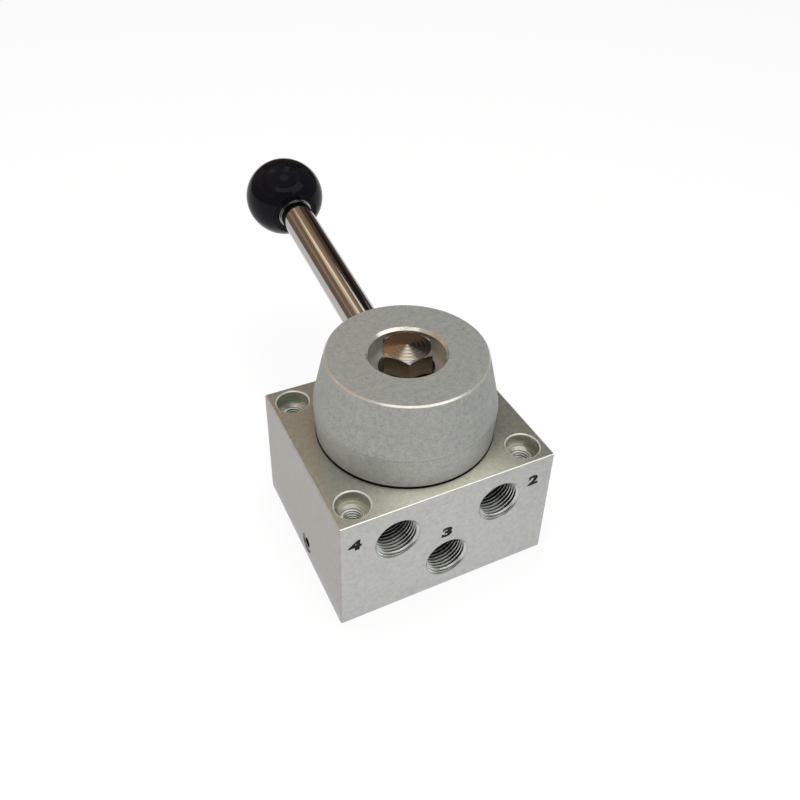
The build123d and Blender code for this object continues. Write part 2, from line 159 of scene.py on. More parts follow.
studio = {
    "floorSize": 6.0,
    "floorColor": (0.84, 0.84, 0.835, 1),
    "floorGlow": 0.85,                 # share of the floor that the camera and metal see as plain white
    # what metal sees of the floor beside the block, a painted shadow of the block: x in mm where it
    # begins and is full, its colour
    "glowSteps": [
        (-42, -45, (0.69, 0.66, 0.645, 1)),
        (-75, -120, (0.80, 0.77, 0.76, 1)),
        (25, 90, (0.77, 0.795, 0.79, 1)),
    ],
    "skyLevel": 0.5,
    "skyColor": (1.0, 0.995, 0.98, 1),
    "lampAim": (0, 0, 60),
}

# place and size in mm, power in watts
lamps = {
    "windowLamp": {
        "place": (-100, -900, 750), "size": (700, 500), "power": 5.0, "color": (1.0, 0.99, 0.97),
    },
    "ceilingLamp": {
        "place": (0, 60, 1200), "size": (700, 700), "power": 9.0, "color": (0.99, 0.99, 0.98),
    },
    "sideLamp": {
        "place": (-1000, -250, 500), "size": (500, 500), "power": 3.0, "color": (1.0, 0.98, 0.96),
    },
}

# Walls, window and ceiling of a plain room, as metal and gloss see them. A row holds the azimuths
# from the rear (+Y) towards +X and the elevations above level, in degrees, then the colour, and
# the distance in mm where it isn't cardDistance.
cards = {
    "wainscotLeft": ((-125, -14), (-1, 22), (0.20, 0.155, 0.115)),
    "panelLeft": ((-125, -14), (22, 31), (0.375, 0.28, 0.21)),
    "wallLeft": ((-125, -14), (31, 44), (0.28, 0.175, 0.108)),
    "corniceLeft": ((-125, -33), (44, 62), (0.38, 0.335, 0.28)),
    "corniceTan": ((-33, -24), (44, 62), (0.89, 0.66, 0.46)),
    "stripLight": ((-24, -13), (47, 60), (1.3, 1.08, 0.84)),
    "stripSurround": ((-24, -13), (44, 62), (0.6, 0.45, 0.32), 1550),
    "ceilingBrown": ((-13, 4), (44, 62), (0.42, 0.30, 0.20)),
    "ceilingPale": ((4, 21.5), (49.5, 62), (0.30, 0.205, 0.125)),
    "ceilingBright": ((21.5, 35), (50.6, 62), (1.15, 1.12, 1.0)),
    "ceilingEdge": ((4, 20.5), (44, 49.5), (0.33, 0.215, 0.125)),
    "ceilingCorner": ((35, 54), (47, 62), (0.16, 0.15, 0.13)),
    "ceilingRight": ((54, 120), (47, 62), (0.46, 0.46, 0.43)),
    "wallRearLeft": ((-14, 21), (39.5, 44), (0.34, 0.195, 0.10)),
    "wallRearLow": ((-14, 21), (20, 39.5), (0.125, 0.073, 0.04)),
    "cornerRear": ((21, 36), (20, 33), (0.10, 0.065, 0.045)),
    "doorDark": ((36, 48), (20, 47), (0.02, 0.018, 0.016)),
    "skirtingRear": ((-14, 62), (-1, 20), (0.1, 0.064, 0.048)),
    "wallRight": ((62, 120), (-1, 49), (0.24, 0.235, 0.22)),
    "wallFront": ((120, 235), (-1, 62), (0.12, 0.118, 0.112)),
    "windowGlow": ((112, 168), (37, 56), (1.3, 1.29, 1.2), 1400),
    "windowSide": ((168, 242), (44, 57), (1.25, 1.22, 1.12), 1400),
    "cornerHigh": ((20.5, 36), (33, 50.6), (0.10, 0.075, 0.052)),
    "doorFrame": ((48, 62), (20, 49), (0.24, 0.24, 0.22)),
    "ceilingSpot": ((12, 44), (62, 74), (0.95, 0.92, 0.82), 1400),
    "ceilingTop": ((-180, 180), (62, 79), (0.28, 0.29, 0.31)),
    "ceilingPanel": ((-180, 180), (79, 90), (1.1, 1.15, 1.3)),
}
cardDistance = 1500
cardSteps = (24, 4)


def addCamera():
    data = bpy.data.cameras.new("photoCamera")
    data.lens = cameraSetup["lens"]
    data.shift_x = cameraSetup["shiftX"]
    data.shift_y = cameraSetup["shiftY"]
    data.clip_start = 0.01
    camera = bpy.data.objects.new("photoCamera", data)
    bpy.context.scene.collection.objects.link(camera)
    turn = Matrix.Rotation(radians(cameraSetup["heading"]), 4, 'Z')
    tilt = Matrix.Rotation(radians(90 + cameraSetup["tilt"]), 4, 'X')
    roll = Matrix.Rotation(radians(cameraSetup["roll"]), 4, 'Z')
    camera.matrix_world = Matrix.Translation(place(cameraSetup["place"])) @ turn @ tilt @ roll
    bpy.context.scene.camera = camera


def emission(tree, color):
    node = addNode(tree, "ShaderNodeEmission")
    feed(tree, node, "Color", color)
    return node.outputs[0]


# Gives a piece a new material and returns its empty tree
def bareMaterial(obj, name):
    material = bpy.data.materials.new(name)
    material.use_nodes = True
    material.node_tree.nodes.clear()
    obj.data.materials.append(material)
    return material.node_tree


# 1 for rays from the camera, from metal and through glass
def backgroundRays(tree):
    rays = addNode(tree, "ShaderNodeLightPath").outputs
    seen = calc(tree, 'MAXIMUM', rays["Is Camera Ray"], rays["Is Glossy Ray"])
    return calc(tree, 'MAXIMUM', seen, rays["Is Transmission Ray"])


def addSky():
    world = bpy.data.worlds.new("softRoom")
    bpy.context.scene.world = world
    world.use_nodes = True
    tree = world.node_tree
    tree.nodes.clear()
    room = addNode(
        tree, "ShaderNodeBackground", values={"Color": studio["skyColor"], "Strength": studio["skyLevel"]}
    )
    white = addNode(tree, "ShaderNodeBackground", values={"Color": (1, 1, 1, 1)})
    sky = shaderMix(tree, backgroundRays(tree), room.outputs[0], white.outputs[0])
    addNode(tree, "ShaderNodeOutputWorld", links={0: sky})


# White for the camera. Metal sees the floor a little darker on the left and the right of the block, a
# painted shadow of the block.
def glowColor(tree):
    across = split(tree, objectPlace(tree))["X"]
    metal = addNode(tree, "ShaderNodeLightPath").outputs["Is Glossy Ray"]
    color = (1, 1, 1, 1)
    for start, full, shade in studio["glowSteps"]:
        reach = addNode(
            tree, "ShaderNodeMapRange",
            values={"From Min": start * mm, "From Max": full * mm}, links={"Value": across},
        )
        color = colorMix(tree, calc(tree, 'MULTIPLY', reach.outputs[0], metal), color, shade)
    return color


def addFloor():
    bpy.ops.mesh.primitive_grid_add(x_subdivisions=8, y_subdivisions=8, size=studio["floorSize"])
    floor = bpy.context.object
    floor.name = "studioFloor"
    tree = bareMaterial(floor, "paleFloor")
    matt = addNode(tree, "ShaderNodeBsdfDiffuse", values={"Color": studio["floorColor"]})
    share = calc(tree, 'MULTIPLY', backgroundRays(tree), studio["floorGlow"])
    surface = shaderMix(tree, share, matt.outputs[0], emission(tree, glowColor(tree)))
    addNode(tree, "ShaderNodeOutputMaterial", links={0: surface})


def addLamps():
    for name, look in lamps.items():
        data = bpy.data.lights.new(name, 'AREA')
        data.shape = 'RECTANGLE'
        data.size, data.size_y = [s * mm for s in look["size"]]
        data.energy = look["power"]
        data.color = look["color"]
        lamp = bpy.data.objects.new(name, data)
        bpy.context.scene.collection.objects.link(lamp)
        lamp.location = place(look["place"])
        aim = place(studio["lampAim"]) - lamp.location
        lamp.rotation_euler = aim.to_track_quat('-Z', 'Y').to_euler()
        lamp.visible_glossy = False


# Bent cards round the set. Only metal and gloss see them, as with a photographer's flags.
def addCards():
    for name, ((left, right), (low, high), color, *far) in cards.items():
        distance = far[0] if far else cardDistance
        bpy.ops.mesh.primitive_grid_add(x_subdivisions=cardSteps[0], y_subdivisions=cardSteps[1], size=1)
        card = bpy.context.object
        card.name = name
        for v in card.data.vertices:
            azimuth = radians(left + (right - left) * (v.co.x + 0.5))
            elevation = radians(low + (high - low) * (v.co.y + 0.5))
            flat = cos(elevation) * distance
            v.co = place((flat * sin(azimuth), flat * cos(azimuth), sin(elevation) * distance))
        tree = bareMaterial(card, name)
        addNode(tree, "ShaderNodeOutputMaterial", links={0: emission(tree, (*color, 1))})
        card.visible_camera = False
        card.visible_diffuse = False
        card.visible_shadow = False


addCamera()
addSky()
addFloor()
addLamps()
addCards()
bpy.context.scene.view_settings.view_transform = 'Standard'
print("studio ready")

# Shader groups that several finishes share


def newGroup(name, inputs, outputs):
    group = bpy.data.node_groups.new(name, "ShaderNodeTree")
    for label, kind, value in inputs:
        socket = group.interface.new_socket(label, in_out='INPUT', socket_type=kind)
        socket.default_value = value
    for label, kind in outputs:
        group.interface.new_socket(label, in_out='OUTPUT', socket_type=kind)
    return group, group.nodes.new("NodeGroupInput"), group.nodes.new("NodeGroupOutput")


# Soft cloudy patches and fine grain of a tumbled or blasted metal surface
def mottleGroup():
    group, given, out = newGroup(
        "mottle",
        [
            ("Color", 'NodeSocketColor', (0.5, 0.5, 0.5, 1)),
            ("Patch Scale", 'NodeSocketFloat', 300.0),
            ("Grain Scale", 'NodeSocketFloat', 2500.0),
            ("Contrast", 'NodeSocketFloat', 0.2),
        ],
        [("Color", 'NodeSocketColor'), ("Patches", 'NodeSocketFloat'), ("Height", 'NodeSocketFloat')],
    )
    where = objectPlace(group)
    patches = addNode(
        group, "ShaderNodeTexNoise", values={"Detail": 4.0, "Roughness": 0.6},
        links={"Vector": where, "Scale": given.outputs["Patch Scale"]},
    )
    grain = addNode(
        group, "ShaderNodeTexNoise", values={"Detail": 3.0, "Roughness": 0.65},
        links={"Vector": where, "Scale": given.outputs["Grain Scale"]},
    )
    both = calc(group, 'ADD', patches.outputs["Fac"], grain.outputs["Fac"])
    centred = calc(group, 'SUBTRACT', both, 1.0)
    scaled = calc(group, 'MULTIPLY_ADD', centred, given.outputs["Contrast"], 1.0)
    group.links.new(scaleBy(group, given.outputs["Color"], scaled), out.inputs["Color"])
    group.links.new(patches.outputs["Fac"], out.inputs["Patches"])
    group.links.new(grain.outputs["Fac"], out.inputs["Height"])
    return group


# Radius about the Z axis and height of a point, in millimetres
def roundGroup():
    group, given, out = newGroup(
        "roundPlace", [],
        [("Radius", 'NodeSocketFloat'), ("Height", 'NodeSocketFloat')],
    )
    where = objectPlace(group)
    flat = vectorCalc(group, 'MULTIPLY', where, (perMetre, perMetre, 0))
    group.links.new(vectorCalc(group, 'LENGTH', flat), out.inputs["Radius"])
    group.links.new(calc(group, 'MULTIPLY', split(group, where)["Z"], perMetre), out.inputs["Height"])
    return group


# Small dark pits scattered over a surface
def specksGroup():
    group, given, out = newGroup(
        "specks",
        [
            ("Scale", 'NodeSocketFloat', 500.0),
            ("Size", 'NodeSocketFloat', 0.12),
            ("Spared", 'NodeSocketFloat', 0.72),
        ],
        [("Mask", 'NodeSocketFloat')],
    )
    cells = addNode(
        group, "ShaderNodeTexVoronoi", {"feature": 'F1'},
        links={"Vector": objectPlace(group), "Scale": given.outputs["Scale"]},
    )
    chosen = addNode(group, "ShaderNodeSeparateColor", links={0: cells.outputs["Color"]})
    keep = calc(group, 'GREATER_THAN', chosen.outputs[0], given.outputs["Spared"])
    near = addNode(
        group, "ShaderNodeMapRange", {"interpolation_type": 'SMOOTHSTEP'},
        {"From Min": 0.0, "To Min": 1.0, "To Max": 0.0},
        {"Value": cells.outputs["Distance"], "From Max": given.outputs["Size"]},
    )
    group.links.new(calc(group, 'MULTIPLY', keep, near.outputs[0]), out.inputs["Mask"])
    return group


scratchTaper = -1.4  # how fast a scratch gets narrower from its middle on


# A thin line scored between two points, thinner towards its ends
def scratchGroup():
    group, given, out = newGroup(
        "scratch",
        [
            ("Start", 'NodeSocketVector', (0, 0, 0)),
            ("End", 'NodeSocketVector', (0, 0, 0)),
            ("Width", 'NodeSocketFloat', 0.0002),
        ],
        [("Mask", 'NodeSocketFloat')],
    )
    start = given.outputs["Start"]
    run = vectorCalc(group, 'SUBTRACT', given.outputs["End"], start)
    away = vectorCalc(group, 'SUBTRACT', objectPlace(group), start)
    along = vectorCalc(group, 'DOT_PRODUCT', away, run)
    share = calc(group, 'DIVIDE', along, vectorCalc(group, 'DOT_PRODUCT', run, run))
    held = addNode(group, "ShaderNodeClamp", links={"Value": share}).outputs[0]
    gap = vectorCalc(group, 'SUBTRACT', away, scaleBy(group, run, held))
    middle = calc(group, 'ABSOLUTE', calc(group, 'SUBTRACT', held, 0.5))
    taper = calc(group, 'MULTIPLY_ADD', middle, scratchTaper, 1.0)
    reach = calc(group, 'MULTIPLY', given.outputs["Width"], taper)
    mask = addNode(
        group, "ShaderNodeMapRange", {"interpolation_type": 'SMOOTHSTEP'},
        {"From Min": 0.0, "To Min": 1.0, "To Max": 0.0},
        {"Value": vectorCalc(group, 'LENGTH', gap), "From Max": reach},
    )
    group.links.new(mask.outputs[0], out.inputs["Mask"])
    return group


mottle = mottleGroup()
roundPlace = roundGroup()
specks = specksGroup()
scratch = scratchGroup()


def newFinish(name, metallic=1.0, roughness=0.4):
    material = bpy.data.materials.new(name)
    material.use_nodes = True
    tree = material.node_tree
    shader = tree.nodes["Principled BSDF"]
    shader.inputs["Metallic"].default_value = metallic
    shader.inputs["Roughness"].default_value = roughness
    return material, tree, shader


def useGroup(tree, group, values=None):
    node = tree.nodes.new("ShaderNodeGroup")
    node.node_tree = group
    for name, value in (values or {}).items():
        node.inputs[name].default_value = value
    return node


def useMottle(tree, look):
    return useGroup(tree, mottle, {
        "Color": look["color"], "Patch Scale": look["patchScale"],
        "Grain Scale": look["grainScale"], "Contrast": look["contrast"],
    })


def bumpFrom(tree, shader, height, strength, distance):
    bump = addNode(
        tree, "ShaderNodeBump", values={"Strength": strength, "Distance": distance},
        links={"Height": height},
    )
    tree.links.new(bump.outputs[0], shader.inputs["Normal"])


patchRange = (0.3, 0.7)  # what the cloudy patches mostly run over


# Roughness that follows the cloudy patches, between two values
def patchyRough(tree, cloud, limits):
    return ramp(tree, cloud.outputs["Patches"], *patchRange, *limits)


scoreColor = (0.02, 0.02, 0.018, 1)


# Each scratch is start, end and width in mm and how dark it is
def scoreWith(tree, color, scratches):
    for start, end, width, depth in scratches:
        line = useGroup(tree, scratch, {"Start": place(start), "End": place(end), "Width": width * mm})
        color = colorMix(tree, calc(tree, 'MULTIPLY', line.outputs["Mask"], depth), color, scoreColor)
    return color


# Block: anodised aluminium with bright broken edges, worn and with a painted highlight, and drilled holes
# painted dark deep inside as shade

blockLow, blockHigh = [Vector(corner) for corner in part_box("valve_body")]
holePattern = mounts["mounting_holes"]["dims"]

blockLook = {
    "color": (0.462, 0.461, 0.443, 1),
    "metallic": 0.86,
    "roughness": (0.33, 0.41),
    "patchScale": 600.0,
    "grainScale": 2400.0,
    "contrast": 0.6,
    "bump": 0.05,
    "bumpDistance": 0.0001,
    "speckScale": 330.0,
    "speckSize": 0.16,
    "speckDepth": 0.4,
    # the top face's darker olive tint is a painted reflection of the dark warm room behind
    "topColor": (0.42, 0.42, 0.36, 1),
    "topMetallic": 0.74,
    "topRoughness": (0.2, 0.26),
    "topWithin": (0.02, 0.1),           # mm below the top
    "paintedSheenColor": (0.74, 0.74, 0.62, 1),   # the top's lighter part in front of the cap, a painted reflection
    "sheenMetallic": 0.55,
    "sheenFrom": (14, 36),              # mm in front of the middle
    "sheenWidth": (10, 44),             # mm to each side
    # painted shadow under the cap's edge
    "shadeColor": (0.012, 0.011, 0.008, 1),
    "shadeWithin": (33.5, 33.6),        # mm, the top is painted dark inside this radius, a painted shadow under the cap's edge
    # bright edges along x: worn metal with a painted highlight, also given to the recesses' rims
    "edgeColor": (0.95, 0.945, 0.90, 1),
    "edgeRoughness": 0.3,
    "edgeMetallic": 0.35,
    "sideEdgeMetallic": 0.5,            # chamfers of the left and right faces
    "edgeReach": (0.53, 0.61),          # mm, the chamfer and a trace beside it
    "wornAndHighlitWidth": 0.3,                   # mm to each side of the chamfer's middle that is worn bright, with a painted highlight
    "wallColor": (0.46, 0.47, 0.39, 1),    # turned wall of the recesses
    "wallFrom": (0.55, 0.65),           # mm from the block's faces
    "floorColor": (0.82, 0.81, 0.72, 1),   # the recesses' floor
    "floorFrom": (4.6, 4.8),
    "rimSum": 6.57,                     # mm, radius and depth added up on the recesses' rim chamfer
    "rimWidth": 0.1,
    "rimDepth": 1.0,
    # share of the edges' bright colour on the recesses' rim chamfer, a painted highlight
    "rimShare": 0.6,
    # painted shade deep in the holes; also the colour of the pits
    "holeColor": (0.10, 0.10, 0.09, 1),
    "holeFrom": (6.2, 8.0),             # mm from the faces, where the holes are painted dark as shade
    "scratches": [((-15.1, -37.5, 41.9), (-10.7, -37.5, 36.5), 0.22, 0.35)],
}


# What turns the look's main colour into another of its colours by multiplying
def tintTo(look, name):
    return tuple(wanted / given for wanted, given in zip(look[name], look["color"]))


def blockFinish():
    look = blockLook
    material, tree, shader = newFinish("blockMetal", look["metallic"])
    cloud = useMottle(tree, look)
    pits = useGroup(tree, specks, {"Scale": look["speckScale"], "Size": look["speckSize"]})

    # place from the block's middle, and distances to the nearest faces in x, y and z, in mm
    middle = (blockLow + blockHigh) / 2
    half = (blockHigh - blockLow) / 2 / mm
    centred = vectorCalc(tree, 'SUBTRACT', objectPlace(tree), middle)
    spot = vectorCalc(tree, 'MULTIPLY', centred, (perMetre, perMetre, perMetre))
    folded = vectorCalc(tree, 'ABSOLUTE', spot)
    x, y, z = split(tree, vectorCalc(tree, 'SUBTRACT', half, folded))
    nearest = calc(tree, 'MINIMUM', calc(tree, 'MINIMUM', x, y), z)
    chamfer = ramp(tree, calc(tree, 'ADD', y, z), *look["edgeReach"], 1.0, 0.0)
    sideChamfer = ramp(tree, calc(tree, 'ADD', x, z), *look["edgeReach"], 1.0, 0.0)
    # the chamfer's middle is worn bright and painted as a highlight
    wornAndHighlit = band(tree, calc(tree, 'SUBTRACT', y, z), 0.0, look["wornAndHighlitWidth"])
    edge = calc(tree, 'MULTIPLY', chamfer, wornAndHighlit)
    wall = ramp(tree, nearest, *look["wallFrom"])
    floor = ramp(tree, nearest, *look["floorFrom"])
    # painted shade deep in the holes
    hole = ramp(tree, nearest, *look["holeFrom"])

    # rim chamfers, by the radius about the nearest mounting hole, given the edges' painted highlight
    holePlace = (holePattern["spacing_x_mm"] / 2, holePattern["spacing_y_mm"] / 2, 0)
    toHole = vectorCalc(tree, 'SUBTRACT', vectorCalc(tree, 'MULTIPLY', folded, (1, 1, 0)), holePlace)
    rimPlace = calc(tree, 'ADD', vectorCalc(tree, 'LENGTH', toHole), z)
    rim = band(tree, rimPlace, look["rimSum"], look["rimWidth"])
    rim = calc(tree, 'MULTIPLY', rim, calc(tree, 'LESS_THAN', z, look["rimDepth"]))
    edge = calc(tree, 'MAXIMUM', edge, calc(tree, 'MULTIPLY', rim, look["rimShare"]))

    # top face: painted shadow under the cap's edge, and lighter in front of the cap as a painted
    # reflection
    top = ramp(tree, z, *look["topWithin"], 1.0, 0.0)
    radius = useGroup(tree, roundPlace).outputs["Radius"]
    shaded = calc(tree, 'MULTIPLY', top, ramp(tree, radius, *look["shadeWithin"], 1.0, 0.0))
    across, along, _ = split(tree, spot)
    ahead = ramp(tree, calc(tree, 'MULTIPLY', along, -1.0), *look["sheenFrom"])
    beside = ramp(tree, calc(tree, 'ABSOLUTE', across), *look["sheenWidth"], 1.0, 0.0)
    paintedSheen = calc(tree, 'MULTIPLY', calc(tree, 'MULTIPLY', ahead, beside), top)

    # painted reflection: the top is tinted darker and olive
    tint = colorMix(tree, top, (1, 1, 1, 1), tintTo(look, "topColor"))
    # painted reflection lightens the top in front of the cap
    tint = colorMix(tree, paintedSheen, tint, tintTo(look, "paintedSheenColor"))
    color = colorMix(tree, 1.0, cloud.outputs["Color"], tint, 'MULTIPLY')
    fleck = calc(tree, 'MULTIPLY', pits.outputs["Mask"], look["speckDepth"])
    color = colorMix(tree, fleck, color, look["holeColor"])
    color = scoreWith(tree, color, look["scratches"])
    covers = {"wall": wall, "floor": floor, "edge": edge, "hole": hole, "shade": shaded}
    for name, mask in covers.items():
        color = colorMix(tree, mask, color, look[name + "Color"])
    tree.links.new(color, shader.inputs["Base Color"])

    sides = patchyRough(tree, cloud, look["roughness"])
    rough = valueMix(tree, top, sides, patchyRough(tree, cloud, look["topRoughness"]))
    rough = valueMix(tree, edge, rough, look["edgeRoughness"])
    tree.links.new(rough, shader.inputs["Roughness"])
    bare = raised(
        tree, look["metallic"],
        (top, look["topMetallic"] - look["metallic"]),
        (paintedSheen, look["sheenMetallic"] - look["topMetallic"]),
        (sideChamfer, look["sideEdgeMetallic"] - look["metallic"]),
        (edge, look["edgeMetallic"] - look["metallic"]),
    )
    tree.links.new(bare, shader.inputs["Metallic"])
    bumpFrom(tree, shader, cloud.outputs["Height"], look["bump"], look["bumpDistance"])
    return material


# Cap: tumbled die casting, turned clean in the recess, polished by handling at its top edge

capLook = {
    "color": (0.342, 0.350, 0.328, 1),
    "metallic": 0.5,
    "roughness": (0.5, 0.6),
    "patchScale": 500.0,
    "grainScale": 1500.0,
    "contrast": 0.66,
    "bump": 0.15,
    "bumpDistance": 0.0002,
    "pitColor": (0.12, 0.12, 0.11, 1),
    "speckScale": 480.0,
    "speckSize": 0.2,
    "turnedColor": (0.60, 0.61, 0.57, 1),
    "turnedRoughness": 0.3,
    "turnedMetallic": 0.9,
    "turnedWithin": (14.98, 15.03),     # mm, outer radius of the turned recess
    "edgeColor": (0.93, 0.91, 0.84, 1),
    "edgeRoughness": 0.25,
    "edgeMetallic": 0.85,
    "edgeSum": 113.125,                 # mm, radius and height added up on the top chamfer
    "edgeWidth": 0.12,
    "edgeBottom": 83.4,
    "rimRoughness": 0.18,
    "rimGap": 69.06,                    # mm, height less radius on the recess's rim chamfer
    "rimWidth": 0.1,
    "rimBottom": 82.8,
    # painted shadow at the cap's foot
    "lowColor": (0.015, 0.014, 0.01, 1),
    "lowWithin": (50.9, 51.1),          # mm, the cap is painted dark below this, a painted shadow over the gap at its foot
    "crease": 63.2,                     # mm, height of the painted shade line that the crease shows as
    "creaseWidth": 0.26,
    "creaseShadeDepth": 0.5,
    "creaseBreaks": (0.45, 0.6),        # patches below the first value interrupt the line
    "scratches": [
        ((13.7, -31.2, 63.75), (20.9, -27.1, 62.2), 0.3, 0.8),
        ((18.8, 6.8, 84), (22.4, 7.6, 84), 0.2, 0.45),
        ((23.5, 2.9, 84), (27.1, 4.7, 84), 0.22, 0.5),
        ((-15.8, 5.5, 84), (-16.2, 3.8, 84), 0.2, 0.4),
    ],
}


def capFinish():
    look = capLook
    material, tree, shader = newFinish("castCap", look["metallic"])
    cloud = useMottle(tree, look)
    spot = useGroup(tree, roundPlace)
    radius, height = spot.outputs["Radius"], spot.outputs["Height"]

    turned = ramp(tree, radius, *look["turnedWithin"], 1.0, 0.0)
    onChamfer = band(tree, calc(tree, 'ADD', radius, height), look["edgeSum"], look["edgeWidth"])
    edge = calc(tree, 'MULTIPLY', onChamfer, calc(tree, 'GREATER_THAN', height, look["edgeBottom"]))
    onRim = band(tree, calc(tree, 'SUBTRACT', height, radius), look["rimGap"], look["rimWidth"])
    rim = calc(tree, 'MULTIPLY', onRim, calc(tree, 'GREATER_THAN', height, look["rimBottom"]))
    # painted shadow at the cap's foot
    low = ramp(tree, height, *look["lowWithin"], 1.0, 0.0)

    pits = useGroup(tree, specks, {"Scale": look["speckScale"], "Size": look["speckSize"]})
    color = colorMix(tree, pits.outputs["Mask"], cloud.outputs["Color"], look["pitColor"])
    # painted shade along the crease, broken by the patches
    breaks = ramp(tree, cloud.outputs["Patches"], *look["creaseBreaks"])
    line = calc(tree, 'MULTIPLY', band(tree, height, look["crease"], look["creaseWidth"]), breaks)
    color = colorMix(tree, calc(tree, 'MULTIPLY', line, look["creaseShadeDepth"]), color, look["pitColor"])
    color = scoreWith(tree, color, look["scratches"])
    for mask, name in ((turned, "turned"), (calc(tree, 'MAXIMUM', edge, rim), "edge"), (low, "low")):
        color = colorMix(tree, mask, color, look[name + "Color"])
    tree.links.new(color, shader.inputs["Base Color"])

    rough = patchyRough(tree, cloud, look["roughness"])
    for mask, name in ((turned, "turned"), (edge, "edge"), (rim, "rim")):
        rough = valueMix(tree, mask, rough, look[name + "Roughness"])
    tree.links.new(rough, shader.inputs["Roughness"])
    bare = raised(
        tree, look["metallic"],
        (turned, look["turnedMetallic"] - look["metallic"]),
        (edge, look["edgeMetallic"] - look["metallic"]),
    )
    tree.links.new(bare, shader.inputs["Metallic"])
    bumpFrom(tree, shader, cloud.outputs["Height"], look["bump"], look["bumpDistance"])
    return material


# Hexagon bolt: nickelled, with the lathe's rings on its cone

boltLook = {
    "color": (0.62, 0.58, 0.53, 1),
    # the flats are painted darker and browner, a painted reflection of the shaded recess round them
    "sideShadeColor": (0.47, 0.38, 0.28, 1),
    "patchScale": 500.0,
    "grainScale": 5000.0,
    "contrast": 0.1,
    "roughness": 0.13,
    "ringPitch": 1.7,                   # mm
    "finePitch": 0.5,
    "fineShare": 0.3,
    "wobble": 0.35,                     # mm that the patches move the rings
    "coneFrom": (86.3, 86.38),          # mm, the turned cone begins at this height
    "cornerSlope": 0.577,               # of the corners' chamfer
    "cornerSum": (91.1, 91.22),         # mm, radius times slope plus height on that chamfer
    "bumpDistance": 0.000008,
}


def boltFinish():
    look = boltLook
    material, tree, shader = newFinish("turnedHexagon", 1.0, look["roughness"])
    cloud = useMottle(tree, look)
    spot = useGroup(tree, roundPlace)
    radius, height = spot.outputs["Radius"], spot.outputs["Height"]
    cornerPlace = calc(tree, 'MULTIPLY_ADD', radius, look["cornerSlope"], height)
    onCorner = ramp(tree, cornerPlace, *look["cornerSum"])
    onTop = calc(tree, 'MAXIMUM', ramp(tree, height, *look["coneFrom"]), onCorner)
    # the flats get the painted reflection colour, the turned top its plain colour
    color = colorMix(tree, onTop, look["sideShadeColor"], cloud.outputs["Color"])
    tree.links.new(color, shader.inputs["Base Color"])
    moved = calc(tree, 'MULTIPLY_ADD', cloud.outputs["Patches"], look["wobble"], radius)
    coarse = calc(tree, 'SINE', calc(tree, 'MULTIPLY', moved, 2 * pi / look["ringPitch"]))
    fine = calc(tree, 'SINE', calc(tree, 'MULTIPLY', moved, 2 * pi / look["finePitch"]))
    rings = calc(tree, 'MULTIPLY_ADD', fine, look["fineShare"], coarse)
    bumpFrom(tree, shader, calc(tree, 'MULTIPLY', rings, onTop), 1.0, look["bumpDistance"])
    return material


# Machined, plated, rubber and plastic finishes of the other pieces

plainDefaults = {
    "metallic": 1.0,
    "gloss": 0.5,
    "contrast": 0.08,
    "patchScale": 900.0,
    "grainScale": 5000.0,
    "bump": 0.03,
    "bumpDistance": 0.00005,
    "roughSpread": 0.15,                # share by which the roughness varies
}

plainLooks = {
    "chromePlate": {
        "color": (0.53, 0.52, 0.51, 1), "roughness": 0.05,
        "contrast": 0.03, "patchScale": 300.0, "bump": 0.0,
    },
    "brightNickel": {"color": (0.44, 0.44, 0.41, 1), "roughness": 0.2, "contrast": 0.1},
    "groundSteel": {"color": (0.52, 0.52, 0.52, 1), "roughness": 0.25},
    "springSteel": {"color": (0.34, 0.34, 0.36, 1), "roughness": 0.3},
    "lappedDisc": {"color": (0.48, 0.48, 0.49, 1), "roughness": 0.18},
    "machinedMetal": {"color": (0.55, 0.55, 0.53, 1), "roughness": 0.3},
    "turnedBronze": {"color": (0.60, 0.42, 0.19, 1), "roughness": 0.3},
    "sealRubber": {"color": (0.02, 0.02, 0.02, 1), "roughness": 0.5, "metallic": 0.0},
    "slidePlastic": {"color": (0.78, 0.77, 0.72, 1), "roughness": 0.45, "metallic": 0.0},
    "knobPlastic": {
        "color": (0.004, 0.004, 0.006, 1), "roughness": 0.07,
        "metallic": 0.0, "bump": 0.01, "gloss": 0.11,
    },
    "markInk": {"color": (0.008, 0.008, 0.009, 1), "roughness": 0.6, "metallic": 0.0, "gloss": 0.12},
}


def plainFinish(name):
    look = {**plainDefaults, **plainLooks[name]}
    material, tree, shader = newFinish(name, look["metallic"])
    shader.inputs["Specular IOR Level"].default_value = look["gloss"]
    cloud = useMottle(tree, look)
    tree.links.new(cloud.outputs["Color"], shader.inputs["Base Color"])
    limits = [look["roughness"] * (1 + side * look["roughSpread"]) for side in (-1, 1)]
    tree.links.new(patchyRough(tree, cloud, limits), shader.inputs["Roughness"])
    bumpFrom(tree, shader, cloud.outputs["Height"], look["bump"], look["bumpDistance"])
    return material


finishes = {name: plainFinish(name) for name in plainLooks}
finishes["blockMetal"] = blockFinish()
finishes["castCap"] = capFinish()
finishes["turnedHexagon"] = boltFinish()

